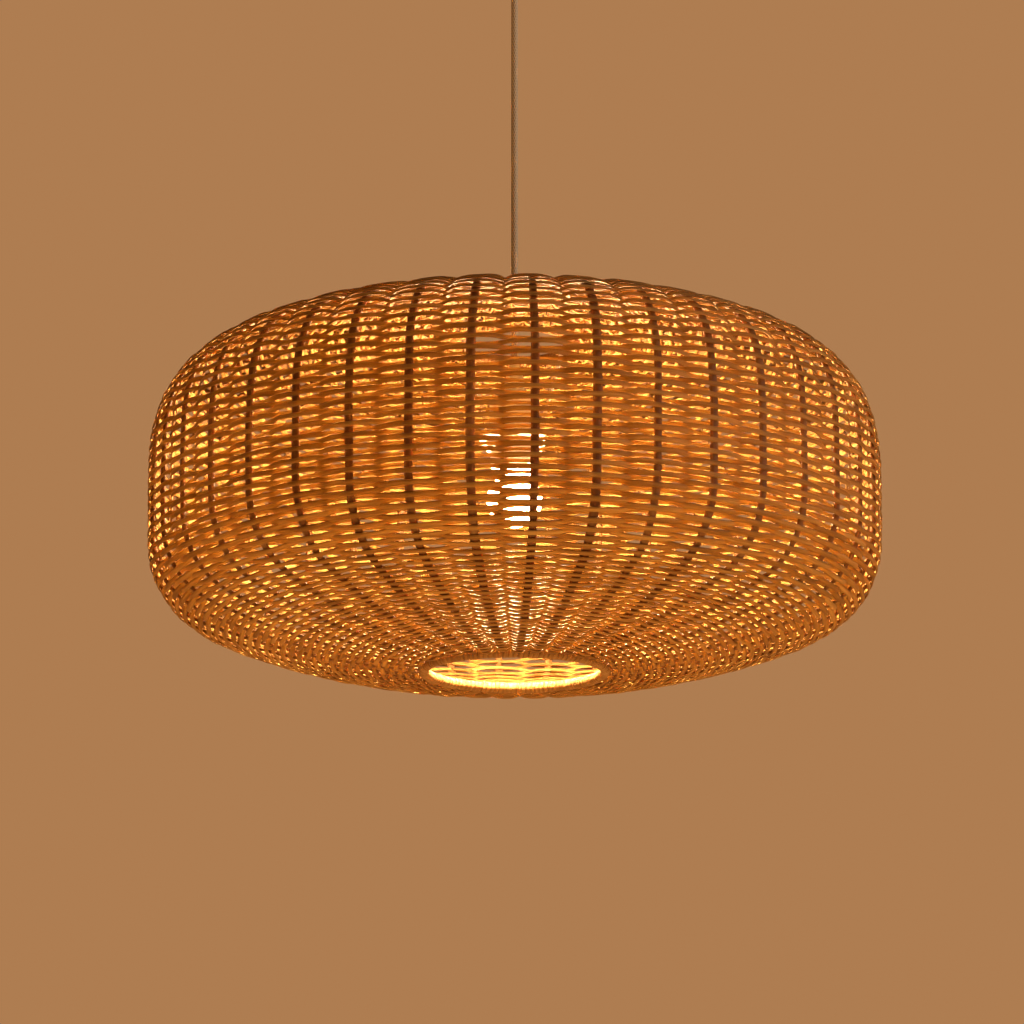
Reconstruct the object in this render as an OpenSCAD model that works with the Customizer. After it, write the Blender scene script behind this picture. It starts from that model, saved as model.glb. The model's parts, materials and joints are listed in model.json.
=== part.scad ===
// Woven pendant ceiling light: ceiling rose, swivel, flex, E27 lampholder,
// wire carrier, basket-woven shade on upright stakes, and its lamp.
// Z = 0 is the ceiling plane. The whole light hangs below it on the Z axis.

/* [Overall] */
// Distance from the ceiling down to the widest part of the shade
drop = 520; // [500:5:900]
// Largest outside radius of the shade
shade_r = 300; // [285:5:340]

/* [Weave] */
// Number of upright stakes
stake_n = 40; // [12:2:48]
// Half the thickness of one stake, through the wall
stake_r = 2.1; // [1.6:0.1:2.1]
// Half the width of one stake, along the wall
stake_w = 2.8; // [2:0.1:3]
// Thickness of one layer of the woven strands
strand_t = 0.8; // [0.6:0.1:0.9]
// Depth from the outside of the weave to the middle of the stakes
stake_depth = 3.1; // [3.1:0.1:3.6]

/* [Rims and carrier] */
// Radius of the steel wire in both rim rings
wire_r = 2; // [1.5:0.1:2.5]
// Outside radius of the binding wound round each rim ring
bind_r = 4.6; // [4:0.1:5]
// How far the carrier's hub hangs below the top ring
hub_drop = 80; // [72:1:88]
// Radius of the three carrier arms
arm_r = 1.8; // [1.5:0.1:2.2]

/* [Ceiling rose] */
// Outside radius of the cover
rose_r = 50; // [50:1:60]
// Height of the cover below the ceiling
rose_h = 50; // [50:1:52]
// Distance between the two ceiling screws
screw_gap = 70; // [60:1:72]
// Radius of the ceiling screw holes
screw_hole_r = 2.5; // [2:0.1:3]
// Radius of the supply cable hole
supply_r = 6; // [5:0.5:7]

/* [Flex] */
// Radius of the round flex
flex_r = 3; // [2.5:0.1:3]

/* [Lamp] */
// Radius of the glass bulb
bulb_r = 22.5; // [22:0.5:23.5]

/* [Hidden] */
$fn = 64;

// ---- shade section: two chains of tangent arcs that start at the equator ----
// each entry is [arc radius, sweep in degrees]
up_arcs = [[320, 4], [105, 19], [72, 46], [460, 25.5]];
dn_arcs = [[1400, 2.5], [74, 20.5], [66, 45.5], [550, 19.5]];
function turned(a, i) = i <= 0 ? 0 : a[i - 1][1] + turned(a, i - 1);
function mid(a, i) = i == 0 ? [shade_r - a[0][0], 0]
  : mid(a, i - 1) + (a[i - 1][0] - a[i][0]) * [cos(turned(a, i)), sin(turned(a, i))];
function on_arc(a, i, t, off) = mid(a, i) + (a[i][0] + off) * [cos(t), sin(t)];
function arc_end(a, off) = on_arc(a, 3, turned(a, 4), off);
// points of one chain at a given offset; cut is trimmed off its free end
function chain(a, off, cut) = [for (i = [0 : 3])
  let (t0 = turned(a, i), t1 = turned(a, i + 1) - (i == 3 ? cut / a[3][0] * 57.3 : 0),
       n = max(1, round((t1 - t0) / 4)))
  for (k = [(i == 0 ? 0 : 1) : n]) on_arc(a, i, t0 + (t1 - t0) * k / n, off)];
function flipz(p) = [for (q = p) [q[0], -q[1]]];
function back(p) = [for (i = [len(p) - 1 : -1 : 1]) p[i]];
// the stretch of a chain that arcs m to n make, and a slice of the skin there
function part_of(a, off, cut, m, n) = [for (i = [m : n])
  let (t0 = turned(a, i), t1 = turned(a, i + 1) - (i == 3 ? cut / a[3][0] * 57.3 : 0),
       c = max(1, round((t1 - t0) / 4)))
  for (k = [(i == m ? 0 : 1) : c]) on_arc(a, i, t0 + (t1 - t0) * k / c, off)];
function section(off, cut) = concat(back(chain(up_arcs, off, cut)), flipz(chain(dn_arcs, off, cut)));
function all_back(p) = [for (i = [len(p) - 1 : -1 : 0]) p[i]];

top_end = arc_end(up_arcs, -stake_depth);
bot_end = arc_end(dn_arcs, -stake_depth);
z_top = top_end[1] - drop;
z_hub = z_top - hub_drop;         // top face of the carrier's hub plate
hub_t = 1.5;
z_rim = z_hub - 27;               // lower rim of the lampholder
pivot = -44;                      // height of the swivel's centre

// ---- swept round tube: rings of n points along a list of points ----
function unit(v) = v / norm(v);
function dir_at(p, i) = unit(p[min(i + 1, len(p) - 1)] - p[max(i - 1, 0)]);
function side_of(d) = unit(cross(d, abs(d[1]) > 0.9 ? [1, 0, 0] : [0, 1, 0]));
function tube_pts(p, r, n) = [for (i = [0 : len(p) - 1])
  let (d = dir_at(p, i), u = side_of(d), v = cross(d, u))
  for (k = [0 : n - 1]) p[i] + r * (cos(360 * k / n) * u + sin(360 * k / n) * v)];
function tube_faces(m, n) = concat(
  [[for (k = [0 : n - 1]) k]],
  [for (i = [0 : m - 2]) for (k = [0 : n - 1])
    [i * n + k, (i + 1) * n + k, (i + 1) * n + (k + 1) % n, i * n + (k + 1) % n]],
  [[for (k = [n - 1 : -1 : 0]) (m - 1) * n + k]]);
module tube(p, r, n) polyhedron(points = tube_pts(p, r, n), faces = tube_faces(len(p), n), convexity = 8);
// smooth curve through hand-set points
function cr(a, b, c, d, t) = 0.5 * ((2 * b) + (c - a) * t + (2 * a - 5 * b + 4 * c - d) * t * t
  + (3 * b - a - 3 * c + d) * t * t * t);
function smooth(p, n) = concat([for (i = [0 : len(p) - 2]) for (k = [0 : n - 1])
  cr(p[max(i - 1, 0)], p[i], p[i + 1], p[min(i + 2, len(p) - 1)], k / n)], [p[len(p) - 1]]);

live_route = [[1.4, 0, -28], [3, -4, -25], [9, -14, -20], [14, -19, -14], [16, -15, -10], [16, -12, -10], [16, -6, -10]];
neutral_route = [[-1.4, 0, -28], [-1, -6, -25], [8, -19, -22], [20, -25, -15], [26, -17, -10], [26, -12, -10], [26, -6, -10]];
lamp_live_route = [[1.4, 0, 26], [2, 0, 23], [6, 0, 18], [6, 0, 12.1]];
lamp_neutral_route = [[-1.4, 0, 26], [-2, 0, 23], [-6, 0, 18], [-6, 0, 12.1]];
cord_top = -36;
cord_low = z_hub + 27;
cord_rings = 24;

// ---------------------------------------------------------------- ceiling rose
module ceiling_bracket() {
  color("silver") difference() {
    union() {
      translate([-rose_r + 2.5, -9, -2]) cube([2 * rose_r - 5, 18, 2]);
      for (s = [-1, 1]) translate([s * (rose_r - 3.5) - 1, -9, -16]) cube([2, 18, 15]);
    }
    for (s = [-1, 1]) {
      translate([s * screw_gap / 2, 0, -3]) cylinder(r = screw_hole_r, h = 4);
      translate([s * (rose_r - 3.5), 0, -10]) rotate([0, 90, 0]) cylinder(r = 2, h = 6, center = true);
    }
    translate([0, 0, -3]) cylinder(r = supply_r, h = 4);
    translate([21, 6, -3]) cylinder(r = 1.6, h = 4);
  }
}
module canopy_cover() {
  w = 1.2;
  c = 12;
  outer = concat([[16.2, -rose_h]], [for (t = [0 : 10 : 90]) [rose_r - c + c * sin(t), -rose_h + c - c * cos(t)]], [[rose_r, -0.5]]);
  inner = concat([[rose_r - w, -0.5]], [for (t = [90 : -10 : 0]) [rose_r - c + (c - w) * sin(t), -rose_h + c - (c - w) * cos(t)]], [[16.2, -rose_h + w]]);
  color("linen") difference() {
    rotate_extrude() polygon(concat(outer, inner));
    for (s = [-1, 1]) translate([s * rose_r, 0, -10]) rotate([0, 90, 0]) cylinder(r = 2.2, h = 8, center = true);
  }
}
module canopy_screws() {
  color("goldenrod") for (a = [0, 180]) rotate([0, 0, a]) translate([0, 0, -10]) rotate([0, 90, 0]) difference() {
    union() {
      translate([0, 0, rose_r - 6]) cylinder(r = 1.95, h = 6.5);
      translate([0, 0, rose_r + 0.1]) cylinder(r = 3.6, h = 2.4);
    }
    translate([-0.5, -5, rose_r + 1.5]) cube([1, 10, 3]);
  }
}
module terminal_block() {
  color("ivory") difference() {
    translate([11, -9, -17]) cube([20, 18, 15]);
    for (x = [16, 26]) {
      translate([x, 0, -10]) rotate([90, 0, 0]) cylinder(r = 2.6, h = 30, center = true);
      for (y = [-4.5, 4.5]) translate([x, y, -18]) cylinder(r = 1.9, h = 7);
    }
    translate([21, 6, -18]) cylinder(r = 1.7, h = 20);
    translate([21, 6, -18]) cylinder(r = 2.9, h = 4);
  }
}
module terminal_sleeves() {
  color("goldenrod") for (x = [16, 26]) difference() {
    translate([x, 0, -10]) rotate([90, 0, 0]) cylinder(r = 2.5, h = 16, center = true);
    translate([x, 0, -10]) rotate([90, 0, 0]) cylinder(r = 1.5, h = 18, center = true);
    for (y = [-4.5, 4.5]) translate([x, y, -14]) cylinder(r = 1.3, h = 4);
  }
}
module terminal_screws() {
  color("silver") for (x = [16, 26], y = [-4.5, 4.5]) difference() {
    union() {
      translate([x, y, -15.5]) cylinder(r = 1.8, h = 2.8);
      translate([x, y, -13]) cylinder(r = 1.2, h = 1.8);
    }
    translate([x - 0.3, y - 3, -16]) cube([0.6, 6, 1.3]);
  }
}
module block_screw() {
  color("silver") difference() {
    union() {
      translate([21, 6, -16]) cylinder(r = 2.8, h = 2);
      translate([21, 6, -14]) cylinder(r = 1.55, h = 14);
    }
    translate([20.6, 1, -16.5]) cube([0.8, 10, 1.3]);
  }
}
module swivel_seat() {
  r = 11.3;
  zb = -8.6;
  sock = [for (k = [0 : 10]) let (t = asin(-zb / r) * (1 - k / 10)) [r * cos(t), pivot - r * sin(t)]];
  color("whitesmoke") rotate_extrude() polygon(concat(sock,
    [[15.9, pivot], [15.9, -rose_h], [19, -rose_h], [18.4, pivot + zb + 0.4], [17.6, pivot + zb]]));
}
module seat_nut() {
  color("whitesmoke") difference() {
    translate([0, 0, -rose_h + 1.2]) cylinder(r = 20, h = 3.6);
    translate([0, 0, -rose_h]) cylinder(r = 16, h = 6);
    for (a = [0 : 45 : 315]) rotate([0, 0, a]) translate([20, 0, -rose_h]) cylinder(r = 1.6, h = 6);
  }
}
module live_wire() color("sienna") tube(smooth(live_route, 2), 1, 8);
module neutral_wire() color("royalblue") tube(smooth(neutral_route, 2), 1, 8);

// ---------------------------------------------------------------- swivel
module swivel_ball() {
  ro = 11;
  ri = 7.3;
  outer = [for (t = [0 : 5 : 55]) [ro * cos(t), pivot - ro * sin(t)]];
  inner = [for (t = [48 : -6 : 0]) [ri * cos(t), pivot - ri * sin(t)]];
  color("gainsboro") rotate_extrude() polygon(concat(outer, [[5.9, pivot - 9.1]], inner));
}
module cord_clamp() {
  r = 7;
  color("goldenrod") difference() {
    rotate_extrude() polygon(concat([[3.08, pivot + 9]], [for (t = [63 : -7 : 0]) [max(3.08, r * cos(t)), pivot - r * sin(t)]], [[r, pivot + 8.4], [r - 0.6, pivot + 9]]));
    translate([0, 0, pivot + 5]) rotate([0, 90, 0]) cylinder(r = 1.5, h = 10);
  }
}
module clamp_screw() {
  color("silver") difference() {
    translate([3.15, 0, pivot + 5]) rotate([0, 90, 0]) cylinder(r = 1.45, h = 4);
    translate([6.2, -0.3, pivot + 3]) cube([2, 0.6, 4]);
  }
}

// ---------------------------------------------------------------- flex and lampholder
module flex_cord() color("wheat") tube([for (i = [0 : cord_rings]) [0, 0, cord_top + (cord_low - cord_top) * i / cord_rings]], flex_r, 12);
module strain_sleeve() color("whitesmoke") rotate_extrude() polygon([
  [3.06, pivot - 10.5], [4.6, pivot - 10.5], [5.1, pivot - 12], [5, pivot - 17], [3.7, pivot - 42], [3.06, pivot - 42]]);
module gland_body() {
  color("whitesmoke") translate([0, 0, z_hub]) difference() {
    union() {
      translate([0, 0, 30]) cylinder(r = 4.9, h = 17);
      translate([0, 0, 38.1]) cylinder(r = 8.5, h = 2);
    }
    cylinder(r = 3.1, h = 60);
  }
}
module gland_nut() {
  color("whitesmoke") translate([0, 0, z_hub]) rotate_extrude() polygon([[5, 40.2], [8.2, 40.2], [8.2, 47], [7.6, 50], [5.4, 58], [3.9, 64], [3.1, 64], [3.1, 48], [5, 47.2]]);
}
module gland_locknut() {
  color("silver") translate([0, 0, z_hub]) difference() {
    translate([0, 0, 32]) cylinder(r = 8, h = 3.8, $fn = 6);
    cylinder(r = 5, h = 60);
  }
}
module lampholder_cap() {
  o = concat([[21, 8.2], [21, 23]], [for (t = [0 : 10 : 80]) [9 + 12 * cos(t), 23 + 15 * sin(t)]], [[9, 38], [5, 38]]);
  i = concat([[5, 36]], [for (t = [80 : -10 : 0]) [8.8 + 10.1 * cos(t), 22.8 + 13.2 * sin(t)]], [[18.9, 8.2]]);
  color("whitesmoke") translate([0, 0, z_hub]) rotate_extrude() polygon(concat(o, i));
}
module lampholder_skirt() {
  color("whitesmoke") translate([0, 0, z_hub]) rotate_extrude() polygon([
    [17.3, -27], [19.4, -27], [19.8, -26.4], [19.8, 0.02], [22.5, 0.02], [22.5, 4], [21, 5],
    [21, 8], [18.6, 8], [18.6, 16], [17.3, 16]]);
}
module holder_core() {
  color("ivory") translate([0, 0, z_hub]) difference() {
    union() {
      translate([0, 0, 2]) cylinder(r = 17.2, h = 8);
      translate([0, 0, 10]) cylinder(r = 14, h = 2);
    }
    for (s = [-1, 1]) translate([s * 11, 0, 5]) cylinder(r = 1.5, h = 8);
    cylinder(r = 1.3, h = 6);
  }
}
module screw_shell() {
  color("goldenrod") translate([0, 0, z_hub]) rotate_extrude() polygon([
    [13.7, -25], [14.6, -25], [14.6, -24.4], [14.2, -24], [14.2, 2], [13.7, 2]]);
}
module centre_contact() {
  color("goldenrod") translate([0, 0, z_hub]) union() {
    translate([0, 0, 2]) cylinder(r = 1.2, h = 3);
    translate([0, 0, 0.8]) cylinder(r = 4, h = 1.2);
    translate([0, 0, -0.6]) cylinder(r = 2.6, h = 1.5);
  }
}
module core_screws() {
  color("silver") translate([0, 0, z_hub]) for (s = [-1, 1]) difference() {
    union() {
      translate([s * 11, 0, 6]) cylinder(r = 1.45, h = 6);
      translate([s * 11, 0, 12]) cylinder(r = 2.6, h = 1.6);
    }
    translate([s * 11 - 0.3, -4, 12.6]) cube([0.6, 8, 2]);
  }
}
module lamp_live_wire() color("sienna") translate([0, 0, z_hub]) tube(smooth(lamp_live_route, 2), 1, 8);
module lamp_neutral_wire() color("royalblue") translate([0, 0, z_hub]) tube(smooth(lamp_neutral_route, 2), 1, 8);

// ---------------------------------------------------------------- carrier and shade
module ring_wire(p, r) translate([0, 0, p[1] - drop]) rotate_extrude($fn = 96) translate([p[0], 0]) circle(r = r);
module carrier_frame() {
  h0 = [24, z_hub - hub_t / 2];
  h1 = [top_end[0], z_top];
  len = norm(h1 - h0);
  color("linen") union() {
    difference() {
      translate([0, 0, z_hub - hub_t]) cylinder(r = 26.5, h = hub_t);
      translate([0, 0, z_hub - 3]) cylinder(r = 20.2, h = 5);
    }
    ring_wire(top_end, wire_r);
    for (a = [90, 210, 330]) rotate([0, 0, a]) translate([h0[0], 0, h0[1]])
      rotate([0, atan2(h1[0] - h0[0], h1[1] - h0[1]), 0]) cylinder(r = arm_r, h = len);
  }
}
module bottom_ring() color("linen") ring_wire([bot_end[0], -bot_end[1]], wire_r);
module binding(p) translate([0, 0, p[1] - drop]) rotate_extrude($fn = 96) translate([p[0], 0]) difference() {
  circle(r = bind_r);
  circle(r = wire_r + 0.1);
}
module top_binding() color("peru") binding(top_end);
module bottom_binding() color("peru") binding([bot_end[0], -bot_end[1]]);
// one stake: the shade section's centre line, thickened both ways
module stake() {
  c = bind_r - 1.5;
  rotate([90, 0, 0]) linear_extrude(height = 2 * stake_w, center = true)
    polygon(concat(section(stake_r - stake_depth, c), all_back(section(-stake_r - stake_depth, c))));
}
module stakes() color("burlywood") translate([0, 0, -drop])
  for (k = [0 : stake_n - 1]) rotate([0, 0, 360 * (k + 0.31) / stake_n]) stake();
module skin(o1, o2) translate([0, 0, -drop]) rotate_extrude($fn = 128)
  polygon(concat(section(o1, bind_r + 0.6), all_back(section(o2, bind_r + 0.6))));
module slice(o, q) translate([0, 0, -drop]) rotate_extrude($fn = 128) polygon(concat(o, all_back(q)));
module weave_crown() color("peru") slice(part_of(up_arcs, 0, bind_r + 0.6, 3, 3), part_of(up_arcs, -strand_t, bind_r + 0.6, 3, 3));
module weave_shoulder() color("peru") slice(part_of(up_arcs, 0, 0, 2, 2), part_of(up_arcs, -strand_t, 0, 2, 2));
module weave_wall() color("peru") slice(
  concat(back(part_of(up_arcs, 0, 0, 0, 1)), flipz(part_of(dn_arcs, 0, 0, 0, 1))),
  concat(back(part_of(up_arcs, -strand_t, 0, 0, 1)), flipz(part_of(dn_arcs, -strand_t, 0, 0, 1))));
module weave_turn() color("peru") slice(flipz(part_of(dn_arcs, 0, 0, 2, 2)), flipz(part_of(dn_arcs, -strand_t, 0, 2, 2)));
module weave_bowl() color("peru") slice(flipz(part_of(dn_arcs, 0, bind_r + 0.6, 3, 3)), flipz(part_of(dn_arcs, -strand_t, bind_r + 0.6, 3, 3)));
module weave_inner() color("tan") skin(-2 * stake_depth + strand_t, -2 * stake_depth);

// ---------------------------------------------------------------- shade ring
module fitter_washer() {
  color("gray") difference() {
    translate([0, 0, z_hub - hub_t - 1]) cylinder(r = 26, h = 1);
    translate([0, 0, z_hub - 5]) cylinder(r = 20.15, h = 6);
  }
}
module shade_ring() {
  color("whitesmoke") difference() {
    translate([0, 0, z_hub - hub_t - 11]) rotate_extrude() polygon([
      [20.1, 0], [23, 0], [23.4, 0.6], [23.4, 6.5], [28.4, 7.5], [29, 8.2], [29, 9.6], [28.6, 10], [20.1, 10]]);
    for (a = [0 : 30 : 330]) rotate([0, 0, a]) translate([29.4, 0, z_hub - hub_t - 4.5]) cylinder(r = 1.5, h = 5);
  }
}

// ---------------------------------------------------------------- lamp, neck up
module bulb_tip() color("silver") translate([0, 0, z_hub - 2.5]) rotate_extrude() polygon([[0, 0], [4.6, 0], [4.6, 0.6], [3, 1.4], [0, 1.6]]);
module bulb_insulator() color("black") translate([0, 0, z_hub]) rotate_extrude() polygon([[0, -6], [9.5, -6], [8.5, -4.6], [4.8, -2.5], [0, -2.5]]);
module bulb_cap() {
  z0 = z_hub - 27.5;
  ridge = [for (k = [0 : 4]) for (j = [0 : 5]) [12.75 + 0.4 * cos(60 * j), z0 + 3 + 3.63 * (k + j / 6)]];
  color("gainsboro") rotate_extrude() polygon(concat([[12.2, z0], [13.6, z0], [13.6, z0 + 1.6], [13.1, z0 + 2.6]], ridge, [[12.1, z0 + 21.3], [9.6, z0 + 21.5], [9.6, z0 + 20.9], [11.7, z0 + 20.5]]));
}
zc = z_hub - 55.5;               // centre of the bulb's globe
neck_r = (bulb_r * cos(42) - 14.1) / (1 - cos(42));
function glass(r, w) = concat(
  [for (t = [-90 : 6 : 42]) [max(0, (r - w) * cos(t)), zc + (r - w) * sin(t)]],
  [for (t = [216 : -6 : 180]) [(r + neck_r) * cos(42) + (neck_r + w) * cos(t), zc + (r + neck_r) * sin(42) + (neck_r + w) * sin(t)]]);
module bulb_glass() color("white") rotate_extrude() polygon(concat(
  [[0, zc - bulb_r]], glass(bulb_r, 0), [[13.9, z_hub - 27.6], [12.9, z_hub - 27.6]], all_back(glass(bulb_r, 1))));
module bulb_stem() color("white") translate([0, 0, z_hub - 27.7]) rotate_extrude() polygon([
  [0, 0], [12.6, 0], [12.6, -1], [6, -3], [3.4, -6], [3, -11], [2.4, -13], [0, -13]]);
module bulb_filaments() color("gold") for (a = [0 : 90 : 270]) rotate([0, 0, a + 20])
  translate([1.2, 0, z_hub - 40.9]) rotate([0, 164, 0]) cylinder(r = 0.9, h = 26);

ceiling_bracket();
canopy_cover();
canopy_screws();
terminal_block();
terminal_sleeves();
terminal_screws();
block_screw();
swivel_seat();
seat_nut();
live_wire();
neutral_wire();
swivel_ball();
cord_clamp();
clamp_screw();
flex_cord();
strain_sleeve();
gland_body();
gland_nut();
gland_locknut();
lampholder_cap();
lampholder_skirt();
holder_core();
screw_shell();
centre_contact();
core_screws();
lamp_live_wire();
lamp_neutral_wire();
carrier_frame();
bottom_ring();
top_binding();
bottom_binding();
stakes();
weave_crown();
weave_shoulder();
weave_wall();
weave_turn();
weave_bowl();
weave_inner();
fitter_washer();
shade_ring();
bulb_tip();
bulb_cap();
bulb_insulator();
bulb_glass();
bulb_stem();
bulb_filaments();
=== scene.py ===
import bpy, json, math
import numpy as np
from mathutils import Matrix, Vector


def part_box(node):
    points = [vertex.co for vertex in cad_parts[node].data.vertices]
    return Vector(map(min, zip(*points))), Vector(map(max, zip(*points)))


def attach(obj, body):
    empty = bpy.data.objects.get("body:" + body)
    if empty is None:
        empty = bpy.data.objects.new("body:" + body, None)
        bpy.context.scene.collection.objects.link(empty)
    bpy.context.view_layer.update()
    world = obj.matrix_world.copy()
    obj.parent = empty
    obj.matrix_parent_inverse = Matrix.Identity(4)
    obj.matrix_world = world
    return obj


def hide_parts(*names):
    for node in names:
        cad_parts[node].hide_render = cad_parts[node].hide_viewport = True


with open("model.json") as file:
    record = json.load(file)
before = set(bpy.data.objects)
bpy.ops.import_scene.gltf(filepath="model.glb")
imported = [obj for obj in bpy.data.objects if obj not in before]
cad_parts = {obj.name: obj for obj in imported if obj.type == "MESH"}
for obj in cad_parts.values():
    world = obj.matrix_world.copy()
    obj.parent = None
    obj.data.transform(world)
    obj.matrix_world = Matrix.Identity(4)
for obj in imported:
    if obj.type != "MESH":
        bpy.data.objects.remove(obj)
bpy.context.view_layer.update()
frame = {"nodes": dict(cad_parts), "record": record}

SC = bpy.context.scene

# ------------------------------------------------------------------ places
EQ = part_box("carrier_frame")[1][2] - 0.002 - 0.12115      # height of the shade's widest ring
R = 0.3
UP = [(0.320, 4.0), (0.105, 19.0), (0.072, 46.0), (0.460, 25.5)]
DN = [(1.400, 2.5), (0.074, 20.5), (0.066, 45.5), (0.550, 19.5)]
STAKE_IN = 0.0033            # the stakes' middle below the woven face
STAKE_R = 0.0020
LIFT = 0.0034                # how far a strand swings outward and inward of the stakes' middle
N = 40
PITCH_A = 2 * math.pi / N
STAKE_A0 = math.radians(2.8) - math.pi / 2


# ------------------------------------------------------------------ camera
cam_d = bpy.data.cameras.new("camera")
cam_d.sensor_width = 36.0
cam_d.lens = 102.1
cam_d.shift_x = -0.00244
cam_d.clip_start, cam_d.clip_end = 0.02, 100
cam = bpy.data.objects.new("camera", cam_d)
SC.collection.objects.link(cam)
EL = math.radians(15.03)
DIST = 2.4
cam.location = (0, -DIST * math.cos(EL), EQ - DIST * math.sin(EL))
cam.rotation_euler = (math.pi / 2 + 0.2526, 0, 0)
SC.camera = cam


# ------------------------------------------------------------------ mesh helpers
def new_mesh(name, verts, faces, mat, smooth=True, attrs=None):
    me = bpy.data.meshes.new(name)
    verts = np.asarray(verts, dtype=np.float32)
    faces = np.asarray(faces, dtype=np.int32)
    me.vertices.add(len(verts))
    me.vertices.foreach_set("co", verts.ravel())
    k = faces.shape[1]
    me.loops.add(faces.size)
    me.loops.foreach_set("vertex_index", faces.ravel())
    me.polygons.add(len(faces))
    me.polygons.foreach_set("loop_start", np.arange(0, faces.size, k, dtype=np.int32))
    me.update(calc_edges=True)
    for an, av in (attrs or {}).items():
        av = np.asarray(av, dtype=np.float32)
        if av.ndim == 1:
            a = me.attributes.new(an, "FLOAT", "POINT")
            a.data.foreach_set("value", av)
        else:
            a = me.attributes.new(an, "FLOAT_VECTOR", "POINT")
            a.data.foreach_set("vector", av.ravel())
    me.validate()
    me.polygons.foreach_set("use_smooth", np.full(len(me.polygons), smooth))
    o = bpy.data.objects.new(name, me)
    SC.collection.objects.link(o)
    if mat is not None:
        me.materials.append(mat)
    return o


class Heap:
    """Gathers quads of several tubes into one mesh."""
    def __init__(self):
        self.v, self.f, self.a, self.n = [], [], [], 0

    def tube(self, pts, side, nrm, sect, lay, closed=False, caps=True):
        """pts (m,3) centre line, side and nrm (m,3) unit vectors, sect (m,k,2) in metres, lay (m,k,3)."""
        m, k = len(pts), sect.shape[1]
        v = pts[:, None, :] + sect[:, :, :1] * side[:, None, :] + sect[:, :, 1:] * nrm[:, None, :]
        i = np.arange(m if closed else m - 1)[:, None]
        j = np.arange(k)[None, :]
        a = i * k + j
        b = i * k + (j + 1) % k
        c = ((i + 1) % m) * k + (j + 1) % k
        d = ((i + 1) % m) * k + j
        f = np.stack([a, b, c, d], -1).reshape(-1, 4)
        out = [f]
        if caps and not closed:
            for base, flip in ((0, False), ((m - 1) * k, True)):
                for t in range(1, k - 1, 2):
                    q = [base, base + t, base + t + 1, base + min(t + 2, k - 1)]
                    if q[3] == q[2]:
                        continue
                    out.append(np.array([q[::-1] if not flip else q]))
        f = np.vstack(out)
        self.v.append(v.reshape(-1, 3))
        self.f.append(f + self.n)
        self.a.append(lay.reshape(-1, 3))
        self.n += m * k

    def build(self, name, mat):
        return new_mesh(name, np.vstack(self.v), np.vstack(self.f), mat, attrs={"lay": np.vstack(self.a)})


def fnoise(rng, n, terms):
    """A smooth random wave over n samples of one whole turn: terms is [(cycles, amplitude), ...]."""
    t = np.linspace(0, 2 * np.pi, n)
    y = np.zeros(n)
    for c, a in terms:
        y += a * np.sin(c * t + rng.uniform(0, 2 * np.pi)) * rng.uniform(0.6, 1.3)
    return y


# ------------------------------------------------------------------ the shade's section
def centre(a, i):
    c = np.array([R - a[0][0], 0.0])
    t = 0.0
    for k in range(i):
        t += math.radians(a[k][1])
        c = c + (a[k][0] - a[k + 1][0]) * np.array([math.cos(t), math.sin(t)])
    return c, t


def arc_at(a, s):
    """Point, and the outward normal's angle, at arc length s along the woven face from the equator."""
    for i, (r, sw) in enumerate(a):
        ln = r * math.radians(sw)
        if s <= ln or i == 3:
            c, t0 = centre(a, i)
            t = t0 + s / r
            return c + r * np.array([math.cos(t), math.sin(t)]), t
        s -= ln


LU = sum(r * math.radians(s) for r, s in UP)
LD = sum(r * math.radians(s) for r, s in DN)


def sect(s):
    """s > 0 up, s < 0 down. Returns (r, z) on the woven face and the normal (nr, nz)."""
    if s >= 0:
        p, t = arc_at(UP, s)
        return p[0], p[1], math.cos(t), math.sin(t)
    p, t = arc_at(DN, -s)
    return p[0], -p[1], math.cos(t), -math.sin(t)


# ------------------------------------------------------------------ material helpers
def mat_new(name):
    m = bpy.data.materials.new(name)
    m.use_nodes = True
    nt = m.node_tree
    for n in list(nt.nodes):
        nt.nodes.remove(n)
    return m, nt


def nd(nt, kind, **kw):
    n = nt.nodes.new(kind)
    for k, v in kw.items():
        if k.startswith("i_"):
            n.inputs[k[2:].replace("_", " ")].default_value = v
        elif isinstance(k, str):
            setattr(n, k, v)
    return n


def ramp(nt, src, stops, interp="LINEAR"):
    r = nt.nodes.new("ShaderNodeValToRGB")
    r.color_ramp.interpolation = interp
    e = r.color_ramp.elements
    while len(e) > 1:
        e.remove(e[-1])
    e[0].position, e[0].color = stops[0][0], (*stops[0][1], 1)
    for p, c in stops[1:]:
        x = e.new(p)
        x.color = (*c, 1)
    nt.links.new(src, r.inputs[0])
    return r.outputs[0]


def math_node(nt, op, a, b=None, clamp=False):
    n = nt.nodes.new("ShaderNodeMath")
    n.operation = op
    n.use_clamp = clamp
    for i, v in enumerate((a, b)):
        if v is None:
            continue
        if hasattr(v, "is_linked") or hasattr(v, "links"):
            nt.links.new(v, n.inputs[i])
        else:
            n.inputs[i].default_value = v
    return n.outputs[0]


def mix_col(nt, fac, a, b, mode="MIX"):
    n = nt.nodes.new("ShaderNodeMix")
    n.data_type = "RGBA"
    n.blend_type = mode
    for s, v in ((n.inputs[0], fac), (n.inputs[6], a), (n.inputs[7], b)):
        if hasattr(v, "links"):
            nt.links.new(v, s)
        elif isinstance(v, tuple):
            s.default_value = (*v, 1)
        else:
            s.default_value = v
    return n.outputs[2]


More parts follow.
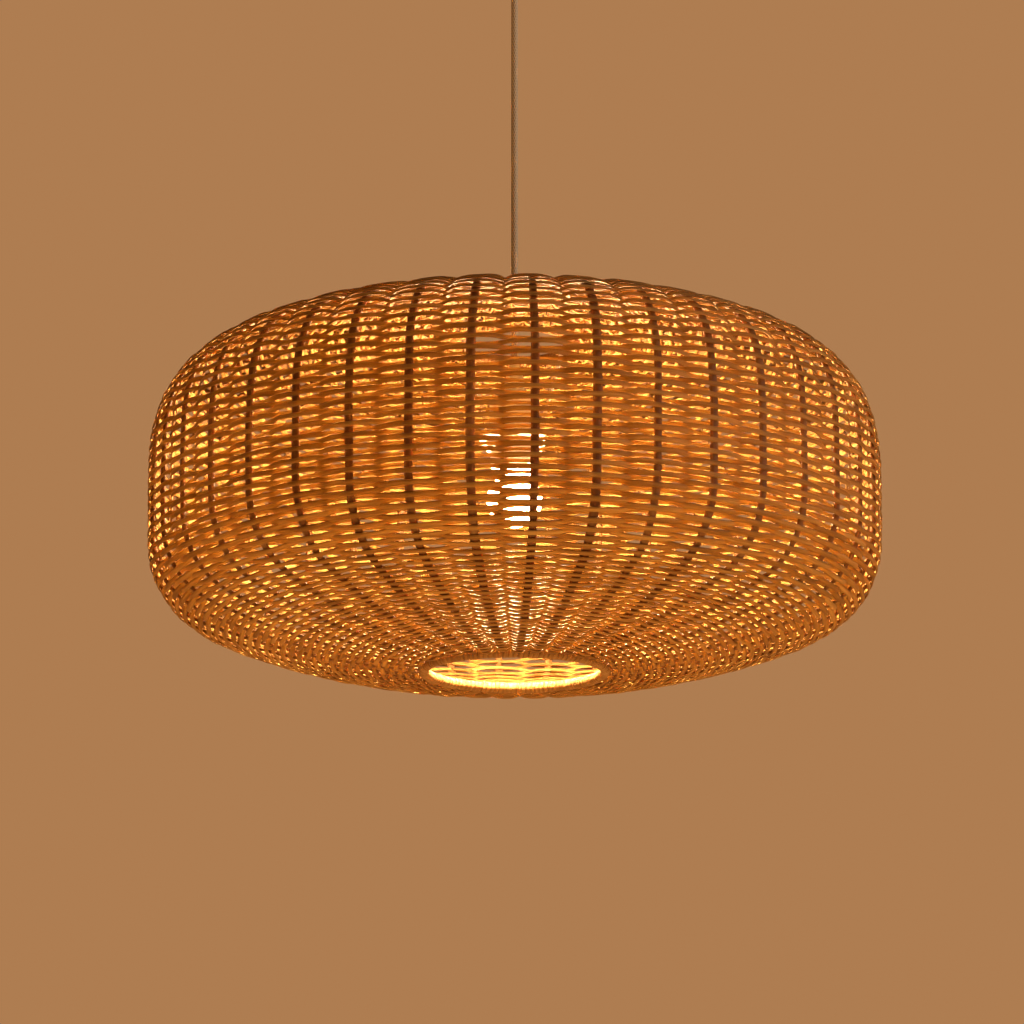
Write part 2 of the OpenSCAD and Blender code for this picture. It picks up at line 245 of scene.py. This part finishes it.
def cane_material(name, dark, mid_c, light, glow, through=0.3, deep_gain=0.0, glow_thin=(1.0, 0.66, 0.24), k_along=55.0, k_across=5.0, rough=0.6, bump=0.35):
    """Natural strand: fibres along it, blotches, painted shade along both edges, and light that comes through it."""
    m, nt = mat_new(name)
    at = nd(nt, "ShaderNodeAttribute", attribute_name="lay")
    sp = nt.nodes.new("ShaderNodeSeparateXYZ")
    nt.links.new(at.outputs["Vector"], sp.inputs[0])
    along, across, rnd = sp.outputs
    # the third value: whole part is the strand's number, fraction is how far it runs inside the stakes
    deep = math_node(nt, "FRACT", rnd)
    rnd = math_node(nt, "DIVIDE", math_node(nt, "FLOOR", rnd), 1000.0)

    def vec(ka, kc, kr):
        c = nt.nodes.new("ShaderNodeCombineXYZ")
        nt.links.new(math_node(nt, "MULTIPLY", along, ka), c.inputs[0])
        nt.links.new(math_node(nt, "MULTIPLY", across, kc), c.inputs[1])
        nt.links.new(math_node(nt, "MULTIPLY", rnd, kr), c.inputs[2])
        return c.outputs[0]

    fib = nd(nt, "ShaderNodeTexNoise", i_Scale=1.0, i_Detail=5.0, i_Roughness=0.65)
    nt.links.new(vec(k_along, k_across, 117.0), fib.inputs["Vector"])
    blot = nd(nt, "ShaderNodeTexNoise", i_Scale=1.0, i_Detail=3.0, i_Roughness=0.55)
    nt.links.new(vec(11.0, 0.6, 311.0), blot.inputs["Vector"])
    row = nd(nt, "ShaderNodeTexNoise", i_Scale=1.0, i_Detail=1.0)
    nt.links.new(vec(0.8, 0.0, 533.0), row.inputs["Vector"])
    t = math_node(nt, "MULTIPLY", fib.outputs["Fac"], 0.45)
    t = math_node(nt, "ADD", t, math_node(nt, "MULTIPLY", blot.outputs["Fac"], 0.33))
    t = math_node(nt, "ADD", t, math_node(nt, "MULTIPLY", row.outputs["Fac"], 0.35))
    col = ramp(nt, t, [(0.40, dark), (0.56, mid_c), (0.70, light)])
    # painted shade: darker along both edges, where neighbouring strands meet
    e = math_node(nt, "ABSOLUTE", across)
    e = math_node(nt, "POWER", e, 3.0)
    col = mix_col(nt, math_node(nt, "MULTIPLY", e, 0.45), col, tuple(c * 0.45 for c in dark))
    b = nd(nt, "ShaderNodeBump", i_Strength=bump, i_Distance=0.0006)
    nt.links.new(fib.outputs["Fac"], b.inputs["Height"])
    p = nd(nt, "ShaderNodeBsdfPrincipled")
    p.inputs["Specular IOR Level"].default_value = 0.25
    nt.links.new(col, p.inputs["Base Color"])
    nt.links.new(math_node(nt, "ADD", math_node(nt, "MULTIPLY", fib.outputs["Fac"], 0.3), rough - 0.15), p.inputs["Roughness"])
    nt.links.new(b.outputs[0], p.inputs["Normal"])
    out = nd(nt, "ShaderNodeOutputMaterial")
    if through > 0:
        tr = nt.nodes.new("ShaderNodeBsdfTranslucent")
        nt.links.new(mix_col(nt, 0.72, col, mix_col(nt, deep, glow, glow_thin)), tr.inputs["Color"])
        mx = nt.nodes.new("ShaderNodeMixShader")
        nt.links.new(math_node(nt, "ADD", math_node(nt, "MULTIPLY", deep, deep_gain), through), mx.inputs[0])
        nt.links.new(p.outputs[0], mx.inputs[1])
        nt.links.new(tr.outputs[0], mx.inputs[2])
        nt.links.new(mx.outputs[0], out.inputs[0])
    else:
        nt.links.new(p.outputs[0], out.inputs[0])
    return m


def solid_material(name, base, rough=0.5, metal=0.0, vary=0.12, scale=60.0, bump=0.08, stretch=(1, 1, 1),
                   wear=None, coat=0.0, fine=900.0, sheen=0.0):
    """Painted, moulded or metal surface: tone drift, fine grain, and wear where asked."""
    m, nt = mat_new(name)
    tc = nt.nodes.new("ShaderNodeTexCoord")
    mp = nt.nodes.new("ShaderNodeMapping")
    mp.inputs["Scale"].default_value = stretch
    nt.links.new(tc.outputs["Object"], mp.inputs[0])
    n1 = nd(nt, "ShaderNodeTexNoise", i_Scale=scale, i_Detail=4.0, i_Roughness=0.6)
    n2 = nd(nt, "ShaderNodeTexNoise", i_Scale=fine, i_Detail=3.0, i_Roughness=0.6)
    nt.links.new(mp.outputs[0], n1.inputs["Vector"])
    nt.links.new(mp.outputs[0], n2.inputs["Vector"])
    lo = tuple(c * (1 - vary) for c in base)
    hi = tuple(min(1, c * (1 + vary)) for c in base)
    col = ramp(nt, n1.outputs["Fac"], [(0.32, lo), (0.68, hi)])
    if wear:
        g = nt.nodes.new("ShaderNodeNewGeometry")
        w = ramp(nt, g.outputs["Pointiness"], [(0.53, (0, 0, 0)), (0.60, (1, 1, 1))])
        w = math_node(nt, "MULTIPLY", w, n1.outputs["Fac"])
        col = mix_col(nt, w, col, wear)
    p = nd(nt, "ShaderNodeBsdfPrincipled", i_Metallic=metal)
    p.inputs["Coat Weight"].default_value = coat
    p.inputs["Sheen Weight"].default_value = sheen
    nt.links.new(col, p.inputs["Base Color"])
    nt.links.new(math_node(nt, "ADD", math_node(nt, "MULTIPLY", n2.outputs["Fac"], 0.22), rough - 0.11), p.inputs["Roughness"])
    b = nd(nt, "ShaderNodeBump", i_Strength=bump, i_Distance=0.0004)
    nt.links.new(n2.outputs["Fac"], b.inputs["Height"])
    nt.links.new(b.outputs[0], p.inputs["Normal"])
    out = nd(nt, "ShaderNodeOutputMaterial")
    nt.links.new(p.outputs[0], out.inputs[0])
    return m


# strands, stakes, bindings
M_STRAND = cane_material("woven_strand", (0.125, 0.050, 0.009), (0.37, 0.165, 0.031), (0.60, 0.335, 0.098), (1.0, 0.50, 0.05), through=0.145, deep_gain=0.12)
M_STAKE = cane_material("stake_cane", (0.085, 0.030, 0.009), (0.22, 0.090, 0.027), (0.36, 0.18, 0.065), (0.95, 0.36, 0.06), through=0.10, k_along=30.0, k_across=7.0)
M_BIND = cane_material("binding_cane", (0.17, 0.068, 0.018), (0.43, 0.205, 0.060), (0.60, 0.35, 0.13), (1.0, 0.43, 0.06), through=0.15, k_along=70.0)


# ------------------------------------------------------------------ woven strands
def make_weave():
    rng = np.random.default_rng(41)
    s_hi = LU - 0.0068
    s_lo = -(LD - 0.0068)
    # rows sit closer together under the bowl
    grid = np.linspace(s_lo, s_hi, 4000)
    pit = 0.00434 - 0.00080 * np.clip((-0.085 - grid) / 0.075, 0, 1)
    cnt = np.concatenate([[0], np.cumsum(np.diff(grid) / (0.5 * (pit[1:] + pit[:-1])))])
    rows = int(round(cnt[-1]))
    row_s = np.interp((np.arange(rows) + 0.5) * cnt[-1] / rows, cnt, grid)
    row_p = np.interp(row_s, grid, pit)
    per = 10                                  # samples per stake gap
    m = N * per + 1
    # the strand is split cane: rounded outside, flatter inside
    ca = np.array([(-1.0, 0.0), (-0.80, 0.72), (-0.30, 1.0), (0.30, 1.0), (0.80, 0.72), (1.0, 0.0), (0.62, -0.85), (-0.62, -0.85)])
    K = len(ca)
    cuts = [("weave_bowl", -0.13998), ("weave_turn", -0.08757), ("weave_wall", 0.05716), ("weave_shoulder", 0.11496), ("weave_crown", 9.0)]
    groups = []
    for j in range(rows):
        s0, pitch = row_s[j], row_p[j]
        node = next(n for n, top in cuts if s0 < top)
        if not groups or groups[-1][0] != node or groups[-1][2] >= 18:
            groups.append([node, Heap(), 0])
        h = groups[-1][1]
        groups[-1][2] += 1
        par = 1 if j % 2 == 0 else -1
        # start behind a stake: this row is inside stake k when par * (-1)^k is -1
        k0 = int(rng.integers(0, N))
        if par * (1 if k0 % 2 == 0 else -1) > 0:
            k0 = (k0 + 1) % N
        u = np.arange(m) / per                # in stake gaps from the start
        u[0], u[-1] = 0.02, N - 0.02
        phi = STAKE_A0 + (k0 + u) * PITCH_A
        sgn = np.cos(np.pi * (k0 + u)) * par
        reg = float(np.clip((s0 + 0.115) / 0.045, 0, 1))            # 1 on the wall, 0 under the bowl
        steep = 1.1 + 0.9 * reg
        lift = np.clip(np.tanh(steep * sgn) / math.tanh(steep) * 1.03, -1, 1)
        back = np.clip(-lift, 0, 1)
        front = np.clip(lift, 0, 1)
        slim = np.clip((back - 0.15) / 0.70, 0, 1)
        slim = slim * slim * (3 - 2 * slim)        # drawn narrow where it passes inside a stake
        low = 1.0 if s0 > -0.10 else 1.0 + 1.3 * min(1, (-0.10 - s0) / 0.12)   # looser towards the mouth
        dn = lift * (LIFT - 0.0013 * (1 - reg) + fnoise(rng, m, [(5, .00012), (13, .00012)])) + fnoise(rng, m, [(7, .00012), (19, .00012), (43, .00010)])
        ds = fnoise(rng, m, [(3, .00022 * low), (11, .00018 * low), (27, .00015 * low), (61, .00009)])
        # behind a stake the strand rides up a little, less so under the bowl
        ds = ds + 0.0012 * slim * reg
        half = 0.5 * pitch * rng.uniform(0.96, 1.05) * (1.05 - 0.13 * reg * front + 0.09 * (1 - reg) - (0.14 + 0.29 * reg) * slim) * (1 + fnoise(rng, m, [(5, .03), (17, .04), (53, .04)]))
        thick = 0.00072 * rng.uniform(0.9, 1.1) * (1 + fnoise(rng, m, [(9, .05), (31, .06)]))
        twist = fnoise(rng, m, [(4, .05), (13, .06), (29, .05)]) 
        p = np.empty((m, 3))
        r_, z_, nr_, nz_ = np.array([sect(s0 + d) for d in ds]).T
        c, s = np.cos(phi), np.sin(phi)
        off = -STAKE_IN + dn
        rr = r_ + nr_ * off
        p[:, 0], p[:, 1], p[:, 2] = rr * c, rr * s, EQ + z_ + nz_ * off
        n3 = np.stack([nr_ * c, nr_ * s, nz_], 1)
        t3 = np.gradient(p, axis=0)
        t3 /= np.linalg.norm(t3, axis=1)[:, None]
        b3 = np.cross(n3, t3)
        b3 /= np.linalg.norm(b3, axis=1)[:, None]
        n3 = np.cross(t3, b3)
        ct, st = np.cos(twist)[:, None], np.sin(twist)[:, None]
        side = b3 * ct + n3 * st
        nr = n3 * ct - b3 * st
        sec = ca[None, :, :] * np.stack([half, thick], 1)[:, None, :]
        al = np.concatenate([[0], np.cumsum(np.linalg.norm(np.diff(p, axis=0), axis=1))])
        lay = np.empty((m, K, 3))
        lay[:, :, 0] = al[:, None] + rng.uniform(0, 5)
        # across the strand: the material paints shade along both edges from this value
        lay[:, :, 1] = ca[None, :, 0]
        lay[:, :, 2] = np.floor(rng.uniform(0, 1) * 1000) + 0.98 * np.clip(slim, 0, 1)[:, None]
        h.tube(p, side, nr, sec, lay)
    out = []
    for i, (node, h, _) in enumerate(groups):
        o = h.build(f"woven_strands_{i + 1}", M_STRAND)
        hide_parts(node, "weave_inner")
        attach(o, "pendant")
        out.append(o)
    return out


def make_stakes():
    rng = np.random.default_rng(7)
    h = Heap()
    m = 132
    s = np.linspace(-(LD - 0.0022), LU - 0.0022, m)
    K = 10
    ang = np.arange(K) * 2 * np.pi / K
    ring = np.stack([1.70 * np.cos(ang), np.sin(ang)], 1)
    prof = np.array([sect(x) for x in s])
    for k in range(N):
        phi = STAKE_A0 + k * PITCH_A + fnoise(rng, m, [(1, .0012), (3, .0010), (9, .0005)])
        rad = STAKE_R * rng.uniform(0.93, 1.05) * (1 + fnoise(rng, m, [(3, .02), (13, .02)]))
        off = -STAKE_IN
        rr = prof[:, 0] + prof[:, 2] * off
        c, sn = np.cos(phi), np.sin(phi)
        p = np.stack([rr * c, rr * sn, EQ + prof[:, 1] + prof[:, 3] * off], 1)
        n3 = np.stack([prof[:, 2] * c, prof[:, 2] * sn, prof[:, 3]], 1)
        t3 = np.gradient(p, axis=0)
        t3 /= np.linalg.norm(t3, axis=1)[:, None]
        b3 = np.cross(n3, t3)
        b3 /= np.linalg.norm(b3, axis=1)[:, None]
        n3 = np.cross(t3, b3)
        # narrower where the stakes crowd together at the rims
        slim = np.clip(rr / 0.085, 0.80, 1.0)
        flat = 0.64 + 0.36 * np.clip((s + 0.115) / 0.045, 0, 1)      # split thinner under the bowl
        sec = ring[None] * np.stack([rad * slim, rad * slim * flat], 1)[:, None, :]
        lay = np.empty((m, K, 3))
        lay[:, :, 0] = (s - s[0])[:, None] + rng.uniform(0, 3)
        # this value feeds the material's painted shade, which here darkens the stake's outer and inner faces a
        # little
        lay[:, :, 1] = np.sin(ang)[None, :] * 0.6
        lay[:, :, 2] = np.floor(rng.uniform(0, 1) * 1000)
        h.tube(p, b3, n3, sec, lay)
    o = h.build("stakes_round", M_STAKE)
    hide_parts("stakes")
    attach(o, "pendant")
    return o


def make_binding(name, node, ring_r, ring_z, turns, seed, body="pendant"):
    """A flat cane wound round the rim ring: one long ribbon, each turn beside the last."""
    rng = np.random.default_rng(seed)
    h = Heap()
    per = 14
    m = turns * per + 1
    t = np.arange(m) / per                     # turns
    phi = 2 * np.pi * t / turns
    th = 2 * np.pi * t + 1.0
    jit = fnoise(rng, m, [(9, .0012), (23, .0010), (57, .0008)])
    phi = phi + jit
    rad = 0.0040 + fnoise(rng, m, [(13, .00010), (37, .00010), (83, .00008)])
    w = 2 * np.pi * ring_r / turns * 0.53 * (1 + fnoise(rng, m, [(11, .05), (41, .05)]))
    c, s = np.cos(phi), np.sin(phi)
    rr = ring_r + rad * np.cos(th)
    p = np.stack([rr * c, rr * s, ring_z + rad * np.sin(th)], 1)
    n3 = np.stack([np.cos(th) * c, np.cos(th) * s, np.sin(th)], 1)
    t3 = np.gradient(p, axis=0)
    t3 /= np.linalg.norm(t3, axis=1)[:, None]
    b3 = np.cross(n3, t3)
    b3 /= np.linalg.norm(b3, axis=1)[:, None]
    n3 = np.cross(t3, b3)
    ca = np.array([(-1.0, 0.0), (-0.8, 0.7), (0.0, 1.0), (0.8, 0.7), (1.0, 0.0), (0.8, -0.6), (0.0, -0.7), (-0.8, -0.6)])
    sec = ca[None] * np.stack([w, np.full(m, 0.00055)], 1)[:, None, :]
    al = np.concatenate([[0], np.cumsum(np.linalg.norm(np.diff(p, axis=0), axis=1))])
    lay = np.empty((m, 8, 3))
    lay[:, :, 0] = al[:, None]
    # across the cane: the material paints shade along both edges of each turn from this value
    lay[:, :, 1] = ca[None, :, 0]
    lay[:, :, 2] = np.floor(rng.uniform(0, 1) * 1000)
    h.tube(p, b3, n3, sec, lay)
    o = h.build(name, M_BIND)
    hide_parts(node)
    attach(o, body)
    return o


make_weave()
make_stakes()
tb_lo, tb_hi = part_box("top_binding")
bb_lo, bb_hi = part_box("bottom_binding")
make_binding("rim_binding_top", "top_binding", (tb_hi[0] - tb_lo[0]) / 2 - 0.0046, (tb_hi[2] + tb_lo[2]) / 2, 84, 3)
make_binding("rim_binding_bottom", "bottom_binding", (bb_hi[0] - bb_lo[0]) / 2 - 0.0046, (bb_hi[2] + bb_lo[2]) / 2, 118, 5)


# ------------------------------------------------------------------ flex
def make_cord():
    lo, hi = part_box("flex_cord")
    z0, z1 = hi[2], lo[2]
    step = 0.0007
    m = int((z0 - z1) / step) + 1
    z = np.linspace(z0, z1, m)
    K = 32
    a = np.arange(K) * 2 * np.pi / K
    zz, aa = np.meshgrid(z, a, indexing="ij")
    pick = 0.0052                              # length of one braid repeat
    w1 = 8 * aa + 2 * np.pi * zz / pick
    w2 = 8 * aa - 2 * np.pi * zz / pick
    hgt = np.maximum(np.cos(w1), np.cos(w2))
    rad = 0.00286 + 0.00011 * hgt
    v = np.stack([rad * np.cos(aa), rad * np.sin(aa), zz], -1).reshape(-1, 3)
    i = np.arange(m - 1)[:, None]
    j = np.arange(K)[None, :]
    f = np.stack([i * K + j, (i + 1) * K + j, (i + 1) * K + (j + 1) % K, i * K + (j + 1) % K], -1).reshape(-1, 4)
    caps = []
    for t in range(1, K - 2, 2):
        caps.append([0, t, t + 1, t + 2])
        b = (m - 1) * K
        caps.append([b + t + 2, b + t + 1, b + t, b])
    f = np.vstack([f, np.array(caps)])
    over = (np.cos(w1) > np.cos(w2)).astype(float)
    # the braid's height goes to the material, which paints shade where it is low
    lay = np.stack([zz, over, hgt], -1).reshape(-1, 3)
    mt, nt = mat_new("flex_braid")
    at = nd(nt, "ShaderNodeAttribute", attribute_name="lay")
    sp = nt.nodes.new("ShaderNodeSeparateXYZ")
    nt.links.new(at.outputs["Vector"], sp.inputs[0])
    tc = nt.nodes.new("ShaderNodeTexCoord")
    n1 = nd(nt, "ShaderNodeTexNoise", i_Scale=2600.0, i_Detail=3.0)
    nt.links.new(tc.outputs["Object"], n1.inputs["Vector"])
    n2 = nd(nt, "ShaderNodeTexNoise", i_Scale=70.0, i_Detail=3.0)
    nt.links.new(tc.outputs["Object"], n2.inputs["Vector"])
    # painted shade: the braid's hollows, where its height is low, are coloured darker, with fine fibre noise over it
    g = math_node(nt, "ADD", math_node(nt, "MULTIPLY", sp.outputs[2], 0.35), math_node(nt, "MULTIPLY", n1.outputs["Fac"], 0.6))
    col = ramp(nt, g, [(0.05, (0.30, 0.20, 0.12)), (0.45, (0.66, 0.52, 0.36)), (0.8, (0.80, 0.68, 0.50))])
    col = mix_col(nt, math_node(nt, "MULTIPLY", n2.outputs["Fac"], 0.20), col, (0.50, 0.37, 0.24))
    b = nd(nt, "ShaderNodeBump", i_Strength=0.5, i_Distance=0.0002)
    nt.links.new(n1.outputs["Fac"], b.inputs["Height"])
    p = nd(nt, "ShaderNodeBsdfPrincipled", i_Roughness=0.72)
    p.inputs["Sheen Weight"].default_value = 0.3
    nt.links.new(col, p.inputs["Base Color"])
    nt.links.new(b.outputs[0], p.inputs["Normal"])
    o_ = nd(nt, "ShaderNodeOutputMaterial")
    nt.links.new(p.outputs[0], o_.inputs[0])
    o = new_mesh("flex", v, f, mt, attrs={"lay": lay})
    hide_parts("flex_cord")
    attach(o, "pendant")
    return o


make_cord()

# ------------------------------------------------------------------ finishes of the CAD pieces
M = {
    "zinc_steel": solid_material("zinc_steel", (0.60, 0.60, 0.58), 0.34, 1.0, 0.10, 120, 0.10),
    "canopy_paint": solid_material("canopy_paint", (0.74, 0.67, 0.56), 0.42, 0.0, 0.06, 45, 0.12, coat=0.15),
    "brass": solid_material("brass", (0.72, 0.50, 0.20), 0.30, 1.0, 0.12, 150, 0.06),
    "ivory_plastic": solid_material("ivory_plastic", (0.78, 0.73, 0.58), 0.5, 0, 0.05, 80, 0.08),
    "white_plastic": solid_material("white_plastic", (0.80, 0.77, 0.70), 0.38, 0, 0.05, 90, 0.10),
    "brown_insulation": solid_material("brown_insulation", (0.16, 0.06, 0.025), 0.45, 0, 0.1, 200, 0.05),
    "blue_insulation": solid_material("blue_insulation", (0.03, 0.11, 0.42), 0.45, 0, 0.1, 200, 0.05),
    "nylon": solid_material("nylon", (0.72, 0.70, 0.62), 0.45, 0, 0.06, 90, 0.08),
    "ceramic": solid_material("ceramic", (0.80, 0.77, 0.68), 0.55, 0, 0.05, 110, 0.15),
    "carrier_paint": solid_material("carrier_paint", (0.78, 0.73, 0.64), 0.48, 0.0, 0.06, 130, 0.22),
    "solder": solid_material("solder", (0.62, 0.62, 0.62), 0.40, 1.0, 0.1, 300, 0.2),
    "lamp_cap_metal": solid_material("lamp_cap_metal", (0.78, 0.77, 0.74), 0.32, 1.0, 0.08, 160, 0.06),
    "black_glass": solid_material("black_glass", (0.012, 0.012, 0.014), 0.12, 0, 0.2, 120, 0.02, coat=0.5),
}


def bulb_material():
    """Frosted white glass with the lamp burning inside: brightest round its middle."""
    m, nt = mat_new("frosted_glass_lit")
    tc = nt.nodes.new("ShaderNodeTexCoord")
    sp = nt.nodes.new("ShaderNodeSeparateXYZ")
    nt.links.new(tc.outputs["Object"], sp.inputs[0])
    lo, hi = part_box("bulb_glass")
    zc = lo[2] + (hi[0] - lo[0]) / 2
    d = math_node(nt, "SUBTRACT", sp.outputs[2], float(zc))
    k = math_node(nt, "MULTIPLY", math_node(nt, "ADD", d, float(zc - lo[2])), float(1 / (hi[2] - lo[2])))
    n = nd(nt, "ShaderNodeTexNoise", i_Scale=900.0, i_Detail=2.0)
    nt.links.new(tc.outputs["Object"], n.inputs["Vector"])
    col = ramp(nt, k, [(0.0, (1.0, 0.76, 0.40)), (0.35, (1.0, 0.80, 0.46)), (0.62, (1.0, 0.76, 0.40)), (0.80, (0.16, 0.10, 0.045)), (1.0, (0.05, 0.028, 0.010))])
    p = nd(nt, "ShaderNodeBsdfPrincipled")
    p.inputs["Base Color"].default_value = (0.93, 0.90, 0.84, 1)
    nt.links.new(math_node(nt, "ADD", math_node(nt, "MULTIPLY", n.outputs["Fac"], 0.1), 0.35), p.inputs["Roughness"])
    nt.links.new(col, p.inputs["Emission Color"])
    p.inputs["Emission Strength"].default_value = BULB
    o = nd(nt, "ShaderNodeOutputMaterial")
    nt.links.new(p.outputs[0], o.inputs[0])
    return m


BULB = 1500.0
M["frosted_glass"] = bulb_material()
M["clear_glass"] = solid_material("clear_glass_stem", (0.85, 0.86, 0.84), 0.2, 0, 0.03, 100, 0.02)
M["filament_phosphor"] = solid_material("filament_phosphor", (0.95, 0.70, 0.20), 0.5, 0, 0.1, 300, 0.1)

slots = {s["node"]: s["material_slot"] for s in frame["record"]["subparts"]}
for name, ob in frame["nodes"].items():
    mt = M.get(slots.get(name))
    if mt is not None:
        for sl in ob.material_slots:
            sl.material = mt
        if not ob.material_slots:
            ob.data.materials.append(mt)

# ------------------------------------------------------------------ surroundings
fm, fnt = mat_new("floor_pale")
tc = fnt.nodes.new("ShaderNodeTexCoord")
n1 = nd(fnt, "ShaderNodeTexNoise", i_Scale=3.0, i_Detail=4.0)
fnt.links.new(tc.outputs["Object"], n1.inputs["Vector"])
fc = ramp(fnt, n1.outputs["Fac"], [(0.3, (0.74, 0.72, 0.69)), (0.7, (0.78, 0.76, 0.73))])
p = nd(fnt, "ShaderNodeBsdfPrincipled", i_Roughness=0.8)
p.inputs["Emission Color"].default_value = (1.0, 0.53, 0.24, 1)
p.inputs["Emission Strength"].default_value = 0.30
fnt.links.new(fc, p.inputs["Base Color"])
fo = nd(fnt, "ShaderNodeOutputMaterial")
fnt.links.new(p.outputs[0], fo.inputs[0])
fl = new_mesh("floor", [(-14, -14, -3.9), (14, -14, -3.9), (14, 14, -3.9), (-14, 14, -3.9)], [(0, 1, 2, 3)], fm, smooth=False)

w = bpy.data.worlds.new("world")
SC.world = w
w.use_nodes = True
wt = w.node_tree
for n in list(wt.nodes):
    wt.nodes.remove(n)
lp = wt.nodes.new("ShaderNodeLightPath")
b1 = wt.nodes.new("ShaderNodeBackground")
b1.inputs[0].default_value = (1.0, 0.50, 0.15, 1)
b1.inputs[1].default_value = 0.17
b2 = wt.nodes.new("ShaderNodeBackground")
b2.inputs[0].default_value = (0.425, 0.205, 0.082, 1)
b2.inputs[1].default_value = 1.0
mx = wt.nodes.new("ShaderNodeMixShader")
wo = wt.nodes.new("ShaderNodeOutputWorld")
wt.links.new(lp.outputs["Is Camera Ray"], mx.inputs[0])
wt.links.new(b1.outputs[0], mx.inputs[1])
wt.links.new(b2.outputs[0], mx.inputs[2])
wt.links.new(mx.outputs[0], wo.inputs[0])


def area(name, loc, target, size, energy, colour):
    d = bpy.data.lights.new(name, "AREA")
    d.shape = "DISK"
    d.size = size
    d.energy = energy
    d.color = colour
    o = bpy.data.objects.new(name, d)
    SC.collection.objects.link(o)
    o.location = loc
    o.rotation_euler = (Vector(target) - Vector(loc)).to_track_quat("-Z", "Y").to_euler()
    return o


area("key", (3.2, -1.2, 0.3), (0, 0, EQ), 1.8, 44, (1.0, 0.90, 0.79))
area("fill", (-2.8, -1.6, -0.9), (0, 0, EQ), 2.2, 4, (1.0, 0.66, 0.36))
area("under", (0.2, -0.6, -2.7), (0, 0, EQ - 0.15), 2.0, 34, (1.0, 0.56, 0.13))
area("rim", (0.5, 2.8, 0.3), (0, 0, EQ), 1.8, 8, (1.0, 0.80, 0.58))
SC.view_settings.view_transform = "Standard"
